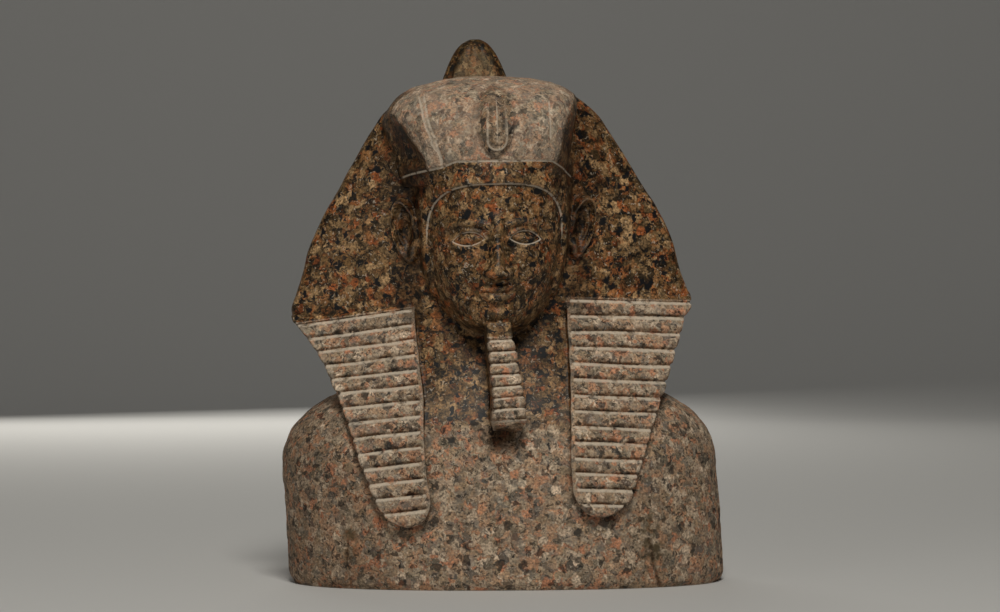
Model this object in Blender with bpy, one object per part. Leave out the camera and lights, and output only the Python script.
"""Granite pharaoh bust, carved from one block and sawn flat below.

Every form is a stack of level sections, like the templates that a carver holds against the block:
torso, striped-cloth hood with its two front lappets, cap, face, ears, false beard, forehead cobra,
crown knob and back tail. The forms are joined into one solid.

Proportions are laid out on the carver's grid, 218 squares high, so the figure keeps its pose and
carving at any height. +Z is up, the figure faces -Y, and the origin is under it on its flat base.
"""

import math

import bmesh
import bpy
import numpy as np
from mathutils import Vector

# Driving sizes, in metres
BUST_HEIGHT = 0.218  # flat base to the top of the crown knob
PLEAT_PITCH = 0.0060  # one stripe of a lappet, groove to groove
PLEAT_GROOVE_WIDTH = 0.0019
PLEAT_GROOVE_DEPTH = 0.0009
BEARD_PITCH = 0.0044  # one braid of the beard
BEARD_GROOVE_WIDTH = 0.0015
BEARD_GROOVE_DEPTH = 0.0009
TAIL_PITCH = 0.0060  # one binding of the tail of the cloth, behind
LINE_RADIUS = 0.0007  # round-nosed line that marks the top of the forehead band

# The carver's grid
GRID_SQUARES = 218
SQUARE = BUST_HEIGHT / GRID_SQUARES

# Heights on the grid
CHIN = 103.5
BAND_LOW = 158.0
BAND_HIGH = 167.0
FACE_THIRD = (BAND_LOW - CHIN) / 3  # chin to nose, nose to brow, brow to band
MOUTH = CHIN + FACE_THIRD * 0.68
NOSE_BASE = CHIN + FACE_THIRD
EYES = CHIN + FACE_THIRD * 1.82
BROWS = CHIN + FACE_THIRD * 2.1

GRANITE = (0.42, 0.31, 0.25, 1.0)
GRANITE_ROUGHNESS = 0.45


def smoothstep(low, high, at):
    """0 below low, 1 above high, and an even S between them."""
    share = np.clip((np.asarray(at, float) - low) / (high - low), 0, 1)
    return share * share * (3 - 2 * share)


def hill(across, spread):
    """A rounded rise of height 1 that fades out over about twice its spread."""
    return np.exp(-((across / spread) ** 2))


def fair(*stations):
    """A smooth curve through (height, value) stations that never overshoots them."""
    at, value = (np.array(column, float) for column in zip(*stations))
    rise = np.diff(value) / np.diff(at)
    slope = np.append(rise, rise[-1])
    before, after = rise[:-1], rise[1:]
    level = before * after <= 0
    total = np.where(level, 1.0, before + after)
    slope[1:-1] = np.where(level, 0.0, 2 * before * after / total)

    def curve(height):
        i = np.clip(np.searchsorted(at, height) - 1, 0, len(at) - 2)
        step = at[i + 1] - at[i]
        t = np.clip((height - at[i]) / step, 0, 1)
        start = (1 + 2 * t) * (1 - t) ** 2 * value[i] + t * (1 - t) ** 2 * step * slope[i]
        end = t * t * (3 - 2 * t) * value[i + 1] + t * t * (t - 1) * step * slope[i + 1]
        return start + end

    return curve


def around(count):
    return 2 * math.pi * np.arange(count) / count


def facing(count, behind, focus=1.0):
    """Turns that are close together in front and sparse behind, where the hood hides the form."""
    spread = np.linspace(-1, 1, count)
    front = (np.sign(spread) * np.abs(spread) ** focus - 1) * math.pi / 2
    return np.concatenate([front, np.linspace(0, math.pi, behind + 2)[1:-1]])


def oval(turn, half_width, front, back, power):
    """A level section as (x, y) points: 2 is an ellipse, and a higher power is squarer."""
    across, along = np.cos(turn), np.sin(turn)
    x = half_width * np.sign(across) * np.abs(across) ** (2 / power)
    y = np.sign(along) * np.abs(along) ** (2 / power)
    return x, y * np.where(along < 0, front, back)


# The block was cut a little out of true: the figure leans to its right, and its left lappet, wing
# and ear stand higher than the right ones
LEAN = fair(
    (0, 0), (12, 0.6), (32, 1.8), (50, 3.1), (60, 2.8), (72, 2.6), (90, 4.6), (108, 6.5), (120, 6.8),
    (218, 6.8),
)
ROLL = math.tan(math.radians(1.7))
ROLL_GROWS = (70.0, 110.0)  # heights over which the block gets out of level, and comes back to it
ROLL_FADES = (135.0, 185.0)


def askew(points):
    """Grid points as the block was cut, leaning sideways and a little out of level."""
    x, y, z = points[..., 0], points[..., 1], points[..., 2]
    lifted = z + ROLL * x * smoothstep(*ROLL_GROWS, z) * (1 - smoothstep(*ROLL_FADES, z))
    return np.stack([x - LEAN(z), y, lifted], axis=-1)


def add_object(name, bm):
    """A new object from a bmesh laid out on the grid, brought to real size."""
    for vertex in bm.verts:
        vertex.co = askew(np.array(vertex.co)) * SQUARE
    bmesh.ops.recalc_face_normals(bm, faces=bm.faces)
    mesh = bpy.data.meshes.new(name)
    bm.to_mesh(mesh)
    bm.free()
    obj = bpy.data.objects.new(name, mesh)
    bpy.context.scene.collection.objects.link(obj)
    return obj


def stack(name, sections):
    """A closed solid from level sections, lowest first: each is a list of (x, y, z)."""
    bm = bmesh.new()
    rings = [[bm.verts.new(point) for point in section] for section in sections]
    for low, high in zip(rings, rings[1:]):
        for i in range(len(low)):
            j = (i + 1) % len(low)
            bm.faces.new((low[i], low[j], high[j], high[i]))
    bm.faces.new(rings[0][::-1])
    bm.faces.new(rings[-1])
    return add_object(name, bm)


def section(x, y, z):
    return np.stack([x, y, np.broadcast_to(z, x.shape)], axis=-1)


# Torso: shoulders and upper arms cut off flat, with a nearly flat breast up to the chin
TORSO_WIDTH = fair(
    (0, 85.2), (2, 86.6), (5, 87.3), (48, 87.1), (52, 86.8), (56, 85.6), (60, 84), (64, 81.2),
    (68, 77.2), (72, 71.4), (76, 64), (82, 56), (92, 50), (104, 46), (114, 43), (126, 36),
)
TORSO_FRONT = fair(
    (0, 43), (3, 45), (25, 46.2), (48, 45.5), (62, 42), (76, 36), (90, 31), (104, 27), (114, 25), (126, 21),
)
TORSO_BACK = fair((0, 44), (3, 46), (30, 47), (52, 43.5), (62, 38.5), (72, 31), (82, 25), (126, 22))
TORSO_SQUARENESS = 2.4
TORSO_POINTS = 56
TORSO_HEIGHTS = (0, 2, 5, 22, 38, 48, 54, 59, 63, 67, 71, 75, 79, 85, 94, 104, 114, 126)


def torso():
    rings = []
    for z in TORSO_HEIGHTS:
        x, y = oval(around(TORSO_POINTS), TORSO_WIDTH(z), TORSO_FRONT(z), TORSO_BACK(z), TORSO_SQUARENESS)
        rings.append(section(x, y, z))
    return stack("torso", rings)


# Hood: the cloth's flat wings behind the ears, with the rounded mass of cloth behind them
HOOD_WIDTH = fair(
    (62, 58), (76, 64.5), (81, 66), (89, 69.5), (97, 73), (103, 76.5), (107, 79), (111, 79.8), (117, 77.9),
    (125, 75.3), (133, 73.4), (141, 70.2), (149, 66.2), (157, 61.2), (165, 56.7), (173, 52), (181, 47.1),
    (187, 42.9), (191, 38.5), (195, 32.6), (198.4, 25.2), (200.6, 16.5),
)
WING_FRONT_AT_EAR = fair(
    (62, 15), (95, 20), (106, 23), (112, 24.5), (130, 23.5), (150, 21.5), (175, 19), (190, 15), (200.6, 9),
)
WING_FRONT_AT_RIM = fair((62, 6), (95, 8), (112, 12.5), (150, 10), (175, 9), (200.6, 5))
HOOD_BACK = fair(
    (62, 26), (76, 33), (90, 39), (105, 43), (120, 45.5), (140, 46.5), (160, 45), (176, 40), (186, 35),
    (193, 29.5), (198, 22), (200.6, 14),
)
EAR_LINE = 30.0  # where the wing's flat front begins, from the middle
RIM_SQUARENESS = 9.0
HOOD_BACK_SQUARENESS = 2.2
HOOD_SIDE_POINTS = 9
HOOD_BACK_POINTS = 14
HOOD_HEIGHTS = (
    62, 76, 89, 98, 104, 108, 111, 114, 120, 130, 140, 149, 157, 165, 173, 181, 187, 191, 195, 198.4, 200.6,
)


def wing_plane(x, z):
    """How far the wing's flat front stands forward, at x from the middle."""
    out = np.clip((np.abs(x) - EAR_LINE) / (HOOD_WIDTH(z) - EAR_LINE), 0, 1)
    return WING_FRONT_AT_EAR(z) + (WING_FRONT_AT_RIM(z) - WING_FRONT_AT_EAR(z)) * out


def hood_section(z, side_points, back_points):
    """The flat front from rim to rim, and then the rounded back."""
    turn = np.linspace(0, math.pi / 2, side_points + 1)
    half = HOOD_WIDTH(z) * np.sin(turn) ** (2 / RIM_SQUARENESS * 2.2)
    front_half = wing_plane(half, z) * np.cos(turn) ** (2 / RIM_SQUARENESS)
    front_x = np.concatenate([-half[::-1], half[1:]])
    front_y = -np.concatenate([front_half[::-1], front_half[1:]])
    bend = np.linspace(0, math.pi, back_points + 2)[1:-1]
    back_x = HOOD_WIDTH(z) * np.sign(np.cos(bend)) * np.abs(np.cos(bend)) ** (2 / HOOD_BACK_SQUARENESS)
    back_y = HOOD_BACK(z) * np.sin(bend) ** (2 / HOOD_BACK_SQUARENESS)
    return section(np.concatenate([front_x, back_x]), np.concatenate([front_y, back_y]), z)


def hood():
    return stack("hood", [hood_section(z, HOOD_SIDE_POINTS, HOOD_BACK_POINTS) for z in HOOD_HEIGHTS])


# Lappets: the two striped ends of the cloth, laid over the breast, each cut to its own outline
LAPPET_FRONT = fair(
    (18, 51.5), (36, 50.5), (50, 48.5), (62, 45), (76, 39), (90, 33.3), (104, 27.8), (112, 25), (119, 21.5),
)
LAPPET_TURN = 0.235  # how fast the face of a lappet falls back towards its outer edge
LAPPET_BACK = fair((18, 36), (50, 30), (70, 14), (85, 5), (119, 5))
LAPPET_EDGE = 1.6
LAPPET_SINK = 4.0  # above its first groove the lappet runs out into the wing over this height
LAPPET_SINK_DEPTH = 2.4
LAPPET_COLUMNS = 5
END_ROUND = 9.0  # height of the rounded lower end
END_SQUARENESS = 2.3
LEFT_LAPPET = {  # the figure's left, at +X
    "side": 1,
    "top": 112.1,  # the first groove, at the inner edge
    "end": 29.3,
    "fall": 0.055,  # how fast the stripes fall towards the outer edge
    "inner": fair((22, 28), (32, 26.4), (40, 25.5), (70, 25.4), (95, 28.0), (113, 29.1), (119, 29.3)),
    "outer": fair((22, 38), (30, 43.5), (36, 47.8), (46, 52.2), (58, 56), (69, 59.8), (81, 65), (89, 69.4),
                  (97, 73.2), (104, 76.8), (108, 79.3), (111, 79.6), (119, 77)),
}
RIGHT_LAPPET = {
    "side": -1,
    "top": 110.3,
    "end": 26.2,
    "fall": 0.115,
    "inner": fair((20, 31.6), (36, 31.1), (44, 31.5), (67, 32.7), (92, 32.1), (119, 31.2)),
    "outer": fair((18, 42), (27, 48.4), (38, 52.8), (50, 56.7), (62, 60.6), (78, 66.3), (90, 69.8),
                  (98, 73.6), (103, 76.6), (107, 79.4), (110, 79.8), (119, 77)),
}


def grooved_heights(top, bottom, pitch, width):
    """(height, depth share) down a grooved bar, from its first groove: each is a V between two lips."""
    stations = []
    groove = top
    while groove - width > bottom:
        stations += [(groove + width / 2, 0.0), (groove, 1.0), (groove - width / 2, 0.0)]
        groove -= pitch
    return stations


def outer_edge(z, lappet):
    """Where the stripe that leaves the inner edge at height z reaches the outer edge."""
    near = lappet["inner"](z)
    far = lappet["outer"](z)
    for _ in range(4):
        far = lappet["outer"](z - lappet["fall"] * (far - near))
    return far


def lappet(name, shape):
    """One lappet, as a stack of sections that slope with its stripes."""
    width = PLEAT_GROOVE_WIDTH / SQUARE
    depth = PLEAT_GROOVE_DEPTH / SQUARE
    end = shape["end"]
    stations = [(shape["top"] + LAPPET_SINK, LAPPET_SINK_DEPTH / depth)]
    stations += grooved_heights(shape["top"], end + END_ROUND * 0.25, PLEAT_PITCH / SQUARE, width)
    stations += [(end + END_ROUND * share, 0.0) for share in (0.14, 0.05, 0.0)]
    rings = []
    for z, cut in reversed(stations):
        near, far = shape["inner"](z), outer_edge(z, shape)
        taper = np.clip((end + END_ROUND - z) / END_ROUND, 0, 0.98)
        share = (1 - taper**END_SQUARENESS) ** (1 / END_SQUARENESS)
        middle, half = (near + far) / 2, (far - near) / 2 * share
        x = middle + half * np.linspace(-1, 1, LAPPET_COLUMNS)
        front = LAPPET_FRONT(z) - LAPPET_TURN * (x - near) - cut * depth
        rim_x = np.array([x[-1] + LAPPET_EDGE * 0.3, x[0] - LAPPET_EDGE * 0.3])
        rim_front = np.array([front[-1] - LAPPET_EDGE, front[0] - LAPPET_EDGE])
        back = float(LAPPET_BACK(z))
        ring_x = np.array([*x, rim_x[0], rim_x[0], rim_x[1], rim_x[1]])
        ring_y = -np.array([*front, rim_front[0], back, back, rim_front[1]])
        ring_z = z - shape["fall"] * (ring_x - near)
        rings.append(np.stack([shape["side"] * ring_x, ring_y, ring_z], axis=-1))
    return stack(name, rings)


# Cap: the cloth drawn tight over the crown of the head, in front of the wings. It is broader on the
# figure's right, where its side is cut back from the flat front panel
CAP_WIDTH = {  # half-widths to the figure's left, at +X, and to its right
    1: fair((150, 27), (158, 31), (167, 31), (172, 31.2), (182, 32.6), (190, 33.8), (193.5, 33.6),
            (196.5, 30.6), (199, 25.5), (200.6, 19), (201.6, 10)),
    -1: fair((150, 33), (158, 37.6), (163, 38.6), (168, 40.2), (177, 43), (183, 44), (187, 42.2), (190, 40.4),
             (193.5, 37.4), (196.5, 32.4), (199, 25.5), (200.6, 18.5), (201.6, 10)),
}
CAP_FRONT = fair(
    (150, 42), (158, 45), (167, 48.6), (178, 49.5), (185, 47.8), (190, 44.6), (193.5, 40.8), (196.5, 35.5),
    (199, 28.5), (200.6, 21), (201.6, 12),
)
CAP_BACK = fair((150, 15), (190, 15), (196.5, 12), (200, 8), (201.6, 4))
CAP_SQUARENESS = {
    1: fair((150, 2.4), (170, 3.4), (190, 3.6), (201.6, 2.3)),
    -1: fair((150, 2.4), (167, 2.4), (178, 2.6), (190, 3.1), (201.6, 2.3)),
}
CAP_PANEL = fair((158, 25), (165, 26.1), (170, 28.4), (176, 32.6), (181, 35.3), (187, 40.6), (202, 42))
CAP_SET_BACK = 4.5
CAP_SET_BACK_GROWS = (164.0, 169.0)
CAP_SET_BACK_FADES = (183.0, 191.0)
CAP_SET_BACK_RUN = 2.6
CAP_HEIGHTS = (150, 158, 167, 169, 173, 178, 183, 187, 190.5, 193.5, 196.3, 198.6, 200.4, 201.6)
CAP_TURNS = facing(27, 7)


def cap():
    left = np.cos(CAP_TURNS) > 0
    rings = []
    for z in CAP_HEIGHTS:
        width = np.where(left, CAP_WIDTH[1](z), CAP_WIDTH[-1](z))
        squareness = np.where(left, CAP_SQUARENESS[1](z), CAP_SQUARENESS[-1](z))
        x, y = oval(CAP_TURNS, width, CAP_FRONT(z), CAP_BACK(z), squareness)
        cut = CAP_SET_BACK * smoothstep(0, CAP_SET_BACK_RUN, -x - CAP_PANEL(z))
        cut = cut * smoothstep(*CAP_SET_BACK_GROWS, z) * (1 - smoothstep(*CAP_SET_BACK_FADES, z))
        rings.append(section(x, np.where(y < 0, np.minimum(y + cut, 0), y), z))
    return stack("cap", rings)


# Head: the jaw, the cheeks and the brow as level sections, with the face raised from their front
HEAD_WIDTH = fair(
    (90, 14), (98, 14), (101, 14.4), (103, 16.2), (106, 19.6), (111, 23.6), (117.5, 27),
    (125, 29.4), (133, 30.8), (143, 31.6), (168, 32.4),
)
HEAD_FRONT = fair(
    (90, 20), (98, 26), (101, 35), (102.4, 41.5), (104, 45), (107, 46.8), (113, 48), (125, 49), (137, 49.5),
    (152, 49.2), (168, 47),
)
HEAD_BACK = 10.0
HEAD_SQUARENESS = 2.3
EYE_MIDDLE = 11.0  # from the middle of the face
EYE_HALF_WIDTH = 5.7
EYE_HALF_HEIGHT = 2.7
NOSE_HALF_WIDTH = fair((NOSE_BASE - 2, 5.0), (NOSE_BASE + 2, 5.2), (NOSE_BASE + 7, 3.8), (BROWS, 3.3))
NOSE_RISE = fair(
    (NOSE_BASE - 2.4, 0), (NOSE_BASE - 0.4, 4.4), (NOSE_BASE + 1.8, 7.6), (NOSE_BASE + 6, 6.6),
    (NOSE_BASE + 13, 3.8), (BROWS, 1.8), (BROWS + 6, 0),
)
MOUTH_HALF_WIDTH = 8.6
HEAD_TURNS = facing(45, 5, 1.25)
FACE_EDGE = (4.0, 20.0)  # forward of the middle, where the face's relief begins and is full
HEAD_HEIGHTS = (
    90, 98, 101, 102.4, 104, 106, 108.5, 110.8, 112.6, 114.2, 115.9, 117.4, 119.2, 120.6, 122, 123.8,
    126.4, 129.4, 132.2, 134.4, 136.6, 138.6, 140.4, 142.2, 144.2, 147, 152, 158, 168,
)


def mouth_relief(x, z):
    """Full lips that meet in a soft line, on a rounded muzzle."""
    width = np.clip(1 - (x / MOUTH_HALF_WIDTH) ** 2, 0, None)
    upper = 1.9 * width**0.7 * hill(z - MOUTH - 2.0, 1.7)
    lower = 2.2 * width * hill(z - MOUTH + 2.1, 1.9)
    line = 0.9 * width**0.4 * hill(z - MOUTH - 0.2 * (x / 6) ** 2, 0.9)
    return 1.8 * hill(x, 11) * hill(z - MOUTH, 9) + upper + lower - line


def eye_relief(x, z):
    """Almond eyes in shallow sockets under long raised brows."""
    out = np.abs(x) - EYE_MIDDLE
    socket = 2.4 * hill(out, 8.5) * hill(z - EYES - 0.3, 4.4)
    almond = (out / EYE_HALF_WIDTH) ** 2 + ((z - EYES) / EYE_HALF_HEIGHT) ** 2
    arch = BROWS + 1.2 - 0.024 * (out - 1) ** 2
    brow = 1.0 * hill(z - arch, 1.7) * smoothstep(-9.5, -6, out) * (1 - smoothstep(7, 11, out))
    return 2.2 * hill(almond, 1.25) - socket + brow


def nose_relief(x, z):
    """A straight wedge from the brow to a broad tip with rounded wings."""
    bridge = NOSE_RISE(z) * hill(x, NOSE_HALF_WIDTH(z) * 0.82)
    wings = 1.8 * hill(np.abs(x) - 4.2, 1.9) * hill(z - NOSE_BASE - 1.6, 2.2)
    return bridge + wings


def cheek_relief(x, z):
    out = np.abs(x)
    cheeks = 1.6 * hill(out - 14, 7.5) * hill(z - NOSE_BASE - 5.5, 7)
    folds = 0.7 * hill(out - 11.5, 3.2) * hill(z - MOUTH - 0.5, 4)
    chin = 2.2 * hill(x, 6) * hill(z - CHIN - 4.4, 4.2)
    return cheeks - folds + chin


def face_relief(x, z):
    """How far the carved face stands forward of the plain head, all features together."""
    return mouth_relief(x, z) + eye_relief(x, z) + nose_relief(x, z) + cheek_relief(x, z)


def head_section(z, turns, grow=0.0):
    return oval(turns, HEAD_WIDTH(z) + grow, HEAD_FRONT(z) + grow, HEAD_BACK, HEAD_SQUARENESS)


def head():
    rings = []
    for z in HEAD_HEIGHTS:
        x, y = head_section(z, HEAD_TURNS)
        rings.append(section(x, y - face_relief(x, z) * smoothstep(*FACE_EDGE, -y), z))
    return stack("head", rings)


# Coif: the cloth's edge round the face, a band over the brow that runs down before the ears
COIF_THICKNESS = 1.5
COIF_TURNS = facing(29, 5)
COIF_HEIGHTS = (113, 122, 131, 140, 150, 158, 163, 168)
OPENING_HALF_WIDTH = 26.6
OPENING_SQUARENESS = 3.2
OPENING_ARCH = 22.0  # height of the arch over the opening's straight sides
OPENING_LOW = 106.0
OPENING_POINTS = 14
OPENING_DEPTH = (24.0, 60.0)  # forward of the middle, from the ears to clear of the nose


def coif():
    rings = []
    for z in COIF_HEIGHTS:
        x, y = head_section(z, COIF_TURNS, COIF_THICKNESS)
        rings.append(section(x, y, z))
    return stack("coif", rings)


def face_opening():
    """The arched opening in the coif that the face looks out of."""
    turn = np.linspace(0, math.pi, OPENING_POINTS)
    across = OPENING_HALF_WIDTH * np.sign(np.cos(turn)) * np.abs(np.cos(turn)) ** (2 / OPENING_SQUARENESS)
    middle = BAND_LOW - OPENING_ARCH
    up = middle + (BAND_LOW - middle) * np.sin(turn) ** (2 / OPENING_SQUARENESS)
    x = np.concatenate([across, [-OPENING_HALF_WIDTH * 0.8, OPENING_HALF_WIDTH * 0.8]])
    z = np.concatenate([up, [OPENING_LOW, OPENING_LOW]])
    rings = [np.stack([x, np.full(len(x), -depth), z], axis=-1) for depth in OPENING_DEPTH]
    return stack("face_opening", rings)


# Ears: rounded shells that stand out from the coif, facing forward
EAR_MIDDLE = (34.6, -22.5, 140.5)
EAR_HALF_WIDTH = 6.0
EAR_HALF_HEIGHT = 13.2
EAR_DEPTH = 14.0
EAR_TURN = math.radians(24)  # the ear faces a little outward
EAR_LEAN = 0.2  # how fast it stands further out from the lobe to the top
EAR_SPOKES = 20
EAR_STEPS = (0.25, 0.5, 0.66, 0.8, 0.93, 1.0)


def ear_rise(reach, turn):
    """How far the ear's surface stands forward at a share of its radius, with turn 90 at the top."""
    low = smoothstep(0.35, 0.95, -np.sin(turn))
    rim = 2.6 * hill(reach - 0.82, 0.2) * (1 - 0.5 * low)
    lobe = 1.8 * low * hill(reach - 0.75, 0.4)
    hollow = 1.6 * hill(reach, 0.5)
    return rim + lobe - hollow - 1.8 * smoothstep(0.86, 1.0, reach)


def ear(name, side):
    """A shell as rings about its middle, from its hollow out over the rim and back into the stone."""
    turn = 2 * math.pi * np.arange(EAR_SPOKES) / EAR_SPOKES
    layers = [(reach, ear_rise(reach, turn)) for reach in EAR_STEPS[::-1]]
    layers.insert(0, (1.0, np.full(EAR_SPOKES, -EAR_DEPTH)))
    rings = []
    for reach, rise in layers:
        across = EAR_HALF_WIDTH * reach * np.cos(turn) * (1 - 0.18 * smoothstep(0.2, 1.0, -np.sin(turn)))
        up = EAR_HALF_HEIGHT * reach * np.sin(turn)
        x = EAR_MIDDLE[0] + across * math.cos(EAR_TURN) + rise * math.sin(EAR_TURN) + EAR_LEAN * up
        y = EAR_MIDDLE[1] + across * math.sin(EAR_TURN) - rise * math.cos(EAR_TURN)
        rings.append(np.stack([side * x, y, EAR_MIDDLE[2] + up], axis=-1))
    return stack(name, rings)


# Beard: the braided false beard that joins the chin to the breast, cut square below
BEARD_TOP = 104.5
BEARD_FIRST_GROOVE = 97.6
BEARD_END = 66.0
BEARD_WIDTH = fair((BEARD_END, 6.7), (85, 5.8), (BEARD_TOP, 4.8))
BEARD_FRONT = fair((BEARD_END, 54.5), (70, 55), (85, 53), (BEARD_TOP, 49))
BEARD_BACK = 20.0
BEARD_CORNER = 1.4


def beard():
    depth = BEARD_GROOVE_DEPTH / SQUARE
    width = BEARD_GROOVE_WIDTH / SQUARE
    stations = [(BEARD_TOP, 0.0)]
    stations += grooved_heights(BEARD_FIRST_GROOVE, BEARD_END + 2, BEARD_PITCH / SQUARE, width)
    stations += [(BEARD_END + 0.6, 0.0), (BEARD_END - 3.5, 7.0 / depth)]
    rings = []
    for z, cut in reversed(stations):
        half = BEARD_WIDTH(z) - min(cut, 1) * depth * 0.6
        front = BEARD_FRONT(z) - cut * depth
        x = np.array([-half, -half + BEARD_CORNER, half - BEARD_CORNER, half, half, -half])
        y = -np.array([front - BEARD_CORNER, front, front, front - BEARD_CORNER, BEARD_BACK, BEARD_BACK])
        rings.append(section(x, y, z))
    return stack("beard", rings)


# Cobra: the rearing hood on the front of the cap
COBRA_LOW = 168.0
COBRA_HIGH = 196.5
COBRA_HALF_WIDTH = 6.8
COBRA_RISE = 2.9
COBRA_POINTS = 14
COBRA_SHARES = (0, 0.08, 0.25, 0.45, 0.65, 0.82, 0.93, 1)  # up the cobra's height


def cobra():
    rings = []
    for share in COBRA_SHARES:
        z = COBRA_LOW + (COBRA_HIGH - COBRA_LOW) * share
        swell = math.sin(math.pi * (0.1 + 0.85 * share))
        half = COBRA_HALF_WIDTH * (0.45 + 0.55 * swell)
        x, y = oval(around(COBRA_POINTS), half, COBRA_RISE * swell + 4, 4, 2.4)
        rings.append(section(x, y - CAP_FRONT(z) + 4, z))
    return stack("cobra", rings)


# Knob: the ribbed stump behind the crown
KNOB_MIDDLE = (-5.4, 14.0)
KNOB_WIDTH = fair(
    (185, 15), (197, 14), (202, 12.6), (206, 11.2), (210, 9.4), (213.5, 7.4), (216.4, 4.8), (218, 2),
)
KNOB_DEPTH_SHARE = 0.85
KNOB_RIB = 0.05
KNOB_LOBES = 9
KNOB_POINTS = 36
KNOB_HEIGHTS = (185, 196, 202, 206, 209.5, 212.5, 215, 217, 218)


def knob():
    rings = []
    for z in KNOB_HEIGHTS:
        half = KNOB_WIDTH(z)
        x, y = oval(around(KNOB_POINTS), half, half * KNOB_DEPTH_SHARE, half * KNOB_DEPTH_SHARE, 2)
        ribs = 1 + KNOB_RIB * np.cos(KNOB_LOBES * np.arctan2(x, -y))
        rings.append(section(KNOB_MIDDLE[0] + x * ribs, KNOB_MIDDLE[1] + y * ribs, z))
    return stack("knob", rings)


# Tail: the bound end of the cloth, down the middle of the back
TAIL_TOP = 108.0
TAIL_FIRST_GROOVE = 98.0
TAIL_END = 34.0
TAIL_WIDTH = fair((TAIL_END, 5.5), (60, 7), (85, 10.5), (TAIL_TOP, 24))
TAIL_RISE = fair((TAIL_END, 2.5), (60, 3), (85, 3.5), (TAIL_TOP, 1))
TAIL_POINTS = 16


def tail():
    depth = PLEAT_GROOVE_DEPTH / SQUARE
    stations = [(TAIL_TOP, 0.0)]
    width = PLEAT_GROOVE_WIDTH / SQUARE
    stations += grooved_heights(TAIL_FIRST_GROOVE, TAIL_END + 3, TAIL_PITCH / SQUARE, width)
    stations += [(TAIL_END + 1.5, 0.0), (TAIL_END, 2.0)]
    rings = []
    for z, cut in reversed(stations):
        half = TAIL_WIDTH(z) - cut * depth * 0.4
        backing = max(TORSO_BACK(z), HOOD_BACK(z))
        x, y = oval(around(TAIL_POINTS), half, 8, TAIL_RISE(z) + 4 - cut * depth, 2.6)
        rings.append(section(x, y + backing - 4, z))
    return stack("tail", rings)


# Chips: knocks along the edges of the cloth and the base, as (place on the grid, size)
CHIPS = (
    ((74.8, -11.0, 98.9), 2.3),
    ((72.6, -15.5, 95.6), 1.4),
    ((-80.6, -14.0, 107.5), 2.0),
    ((-72.8, -20.0, 90.0), 1.7),
    ((-69.0, -25.5, 81.5), 1.9),
    ((-66.6, -28.5, 73.5), 1.3),
    ((-80.2, -11.0, 113.5), 1.5),
    ((69.0, -35.5, 0.0), 1.8),
    ((-66.0, -36.5, 0.0), 1.6),
)
CHIP_ROUGHNESS = 0.22
CHIP_SEED = 7


def chips():
    """Rough pebbles that bite the chips out of the edges."""
    uneven = np.random.default_rng(CHIP_SEED)
    cutters = []
    for place, size in CHIPS:
        bm = bmesh.new()
        bmesh.ops.create_icosphere(bm, subdivisions=1, radius=size)
        for vertex in bm.verts:
            vertex.co = vertex.co * (1 + CHIP_ROUGHNESS * uneven.uniform(-1, 1)) + Vector(place)
        cutters.append(add_object("chip", bm))
    return cutters


BAND_LINE = fair(  # heights of the line along the band's top, from the figure's right to its left
    (-37, 161.2), (-33.7, 162.3), (-27.8, 163.5), (-21.8, 164.6), (-15, 166.8), (0, 167), (20.5, 167),
    (26, 164.6), (28.5, 162.9), (31, 161),
)
BAND_LINE_REACH = math.radians(78)  # how far round the head it runs


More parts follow.
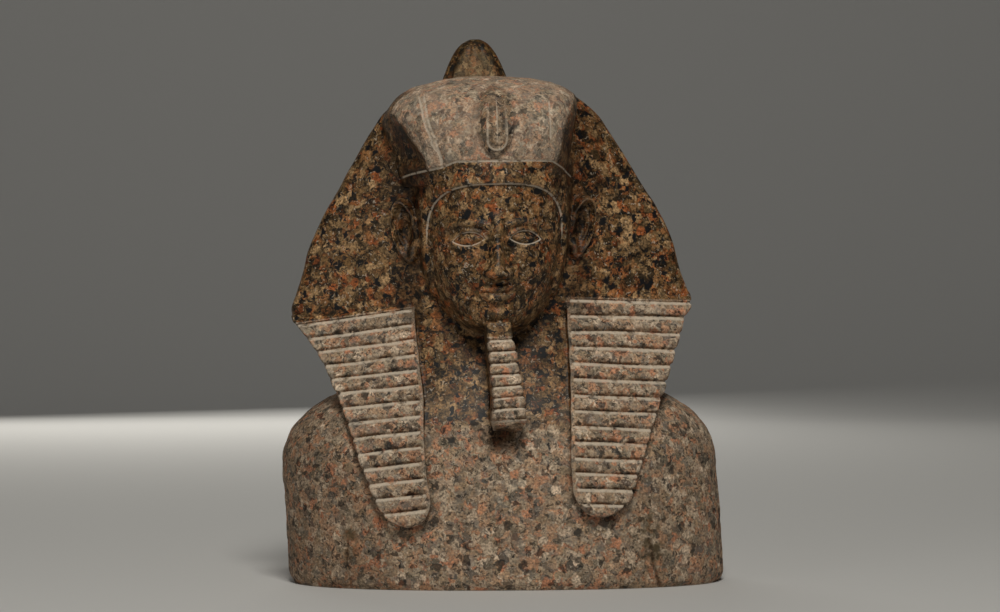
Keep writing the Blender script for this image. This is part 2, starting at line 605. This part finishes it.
def band_line():
    """A round-nosed cutter along the top of the forehead band, from temple to temple."""
    curve = bpy.data.curves.new("band_line", "CURVE")
    curve.dimensions = "3D"
    curve.bevel_depth = LINE_RADIUS
    curve.bevel_resolution = 1
    curve.use_fill_caps = True
    line = curve.splines.new("POLY")
    turns = np.linspace(-1, 1, 25) * BAND_LINE_REACH
    line.points.add(len(turns) - 1)
    for point, turn in zip(line.points, turns):
        height = BAND_HIGH
        for _ in range(2):
            half = HEAD_WIDTH(height) + COIF_THICKNESS
            front = HEAD_FRONT(height) + COIF_THICKNESS
            across = abs(math.sin(turn) / half) ** HEAD_SQUARENESS
            along = abs(math.cos(turn) / front) ** HEAD_SQUARENESS
            reach = (across + along) ** (-1 / HEAD_SQUARENESS)
            height = BAND_LINE(math.sin(turn) * reach)
        place = askew(np.array([math.sin(turn) * reach, -math.cos(turn) * reach, height])) * SQUARE
        point.co = (*place, 1)
    obj = bpy.data.objects.new("band_line_curve", curve)
    bpy.context.scene.collection.objects.link(obj)
    mesh = bpy.data.meshes.new_from_object(obj)
    bpy.data.objects.remove(obj)
    cutter = bpy.data.objects.new("band_line", mesh)
    bpy.context.scene.collection.objects.link(cutter)
    return cutter


def granite():
    material = bpy.data.materials.new("red_granite")
    material.use_nodes = True
    shader = material.node_tree.nodes["Principled BSDF"]
    shader.inputs["Base Color"].default_value = GRANITE
    shader.inputs["Roughness"].default_value = GRANITE_ROUGHNESS
    shader.inputs["Metallic"].default_value = 0.0
    return material


def helpers(name, objects):
    """Puts shapes that only join or cut into a collection of their own, out of every render."""
    group = bpy.data.collections.new(name)
    bpy.context.scene.collection.children.link(group)
    for obj in objects:
        bpy.context.scene.collection.objects.unlink(obj)
        group.objects.link(obj)
        obj.hide_render = True
        obj.display_type = "WIRE"
    return group


def combine(body, name, operation, group):
    """Joins a group of helpers to the body, or cuts them from it."""
    modifier = body.modifiers.new(name, "BOOLEAN")
    modifier.operation = operation
    modifier.operand_type = "COLLECTION"
    modifier.collection = group
    modifier.solver = "EXACT"


def main():
    for obj in list(bpy.data.objects):
        bpy.data.objects.remove(obj)
    bust = torso()
    bust.name = bust.data.name = "pharaoh_bust"
    shell = coif()
    combine(shell, "open_the_face", "DIFFERENCE", helpers("opening", [face_opening()]))
    forms = [hood(), cap(), head(), shell, beard(), cobra(), knob(), tail()]
    forms += [lappet("left_lappet", LEFT_LAPPET), lappet("right_lappet", RIGHT_LAPPET)]
    forms += [ear("left_ear", 1), ear("right_ear", -1)]
    combine(bust, "join_the_forms", "UNION", helpers("forms", forms))
    combine(bust, "cut_the_lines", "DIFFERENCE", helpers("lines", [band_line()]))
    combine(bust, "knock_the_edges", "DIFFERENCE", helpers("chips", chips()))
    bust.data.materials.append(granite())


main()
